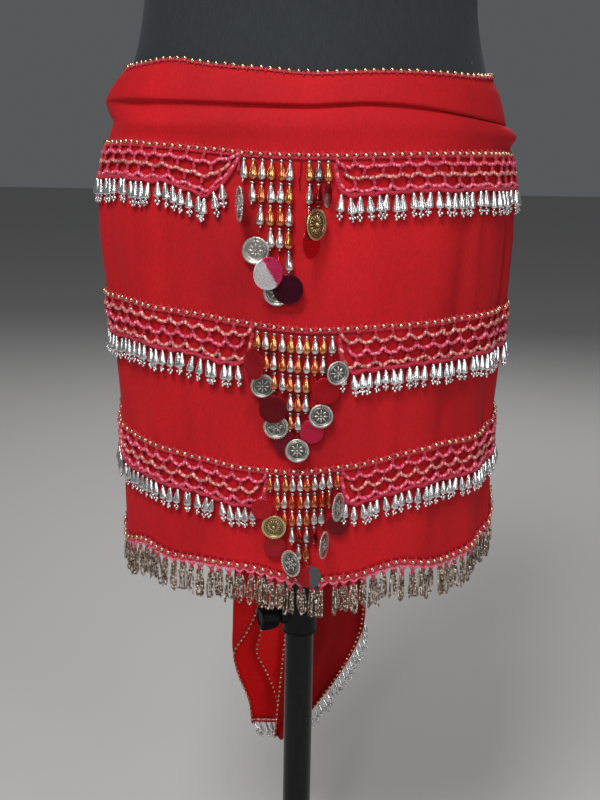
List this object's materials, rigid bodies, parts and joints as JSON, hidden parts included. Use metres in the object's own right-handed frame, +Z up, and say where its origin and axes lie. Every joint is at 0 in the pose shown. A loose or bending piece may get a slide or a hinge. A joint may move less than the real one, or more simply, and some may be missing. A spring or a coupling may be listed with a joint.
{
  "type": "hip scarf on dress form stand",
  "caption": "Beaded dance hip scarf with tiers of crochet lace, bead drops, coins and a tasselled hem, tied round a limbless dress form on a pole stand.",
  "frame": {"origin": "on the floor under the middle of the stand's base, on the pole's axis", "axes": "+Z up the pole, -Y the front of the scarf, +X to the right as seen from the front"},
  "size_m": [0.39, 0.3878, 1.4123],
  "materials": {
    "chiffon": "crinkled red crepe chiffon",
    "crochet": "crimson crochet thread strung with small beads",
    "silver_beads": "faceted silver drop beads",
    "seed_beads": "iridescent champagne seed beads",
    "coloured_beads": "metallic copper, amber and silver drops",
    "coins": "pressed coins and glossy coloured discs",
    "jersey": "charcoal fine-rib stretch jersey",
    "black_metal": "glossy black paint",
    "black_plastic": "black moulded plastic"
  },
  "bodies": {
    "stand": {"base": "black_metal", "pole": "black_metal"},
    "form": {"collar": "black_metal", "dress_form": "jersey", "neck_cap": "black_plastic", "wrap_front": "chiffon", "wrap_back_left": "chiffon", "wrap_back_right": "chiffon", "knot": "chiffon", "tail_left": "chiffon", "tail_right": "chiffon", "lace_tier_1_left": "crochet", "drops_tier_1_left": "silver_beads", "lace_tier_1_right": "crochet", "drops_tier_1_right": "silver_beads", "columns_tier_1": "coloured_beads", "disc_tier_1_1": "coins", "disc_tier_1_2": "coins", "disc_tier_1_3": "coins", "disc_tier_1_4": "coins", "disc_tier_1_5": "coins", "disc_tier_1_6": "coins", "disc_tier_1_7": "coins", "disc_tier_1_8": "coins", "lace_tier_2_left": "crochet", "drops_tier_2_left": "silver_beads", "lace_tier_2_right": "crochet", "drops_tier_2_right": "silver_beads", "columns_tier_2": "coloured_beads", "disc_tier_2_1": "coins", "disc_tier_2_2": "coins", "disc_tier_2_3": "coins", "disc_tier_2_4": "coins", "disc_tier_2_5": "coins", "disc_tier_2_6": "coins", "disc_tier_2_7": "coins", "disc_tier_2_8": "coins", "disc_tier_2_9": "coins", "disc_tier_2_10": "coins", "lace_tier_3_left": "crochet", "drops_tier_3_left": "silver_beads", "lace_tier_3_right": "crochet", "drops_tier_3_right": "silver_beads", "columns_tier_3": "coloured_beads", "disc_tier_3_1": "coins", "disc_tier_3_2": "coins", "disc_tier_3_3": "coins", "disc_tier_3_4": "coins", "disc_tier_3_5": "coins", "disc_tier_3_6": "coins", "disc_tier_3_7": "coins", "disc_tier_3_8": "coins", "tassels_hem": "seed_beads"},
    "knob": {"knob": "black_plastic"}
  },
  "joints": [
    {"name": "form_height", "type": "slide", "parent": "stand", "child": "form", "axis": [0, 0, 1], "range_m": [0, 0.25]},
    {"name": "knob_turn", "type": "hinge", "parent": "form", "child": "knob", "pos_m": [-0.02819, -0.01026, 0.373], "axis": [-0.9397, -0.342, 0], "range_deg": [0, 360]}
  ]
}
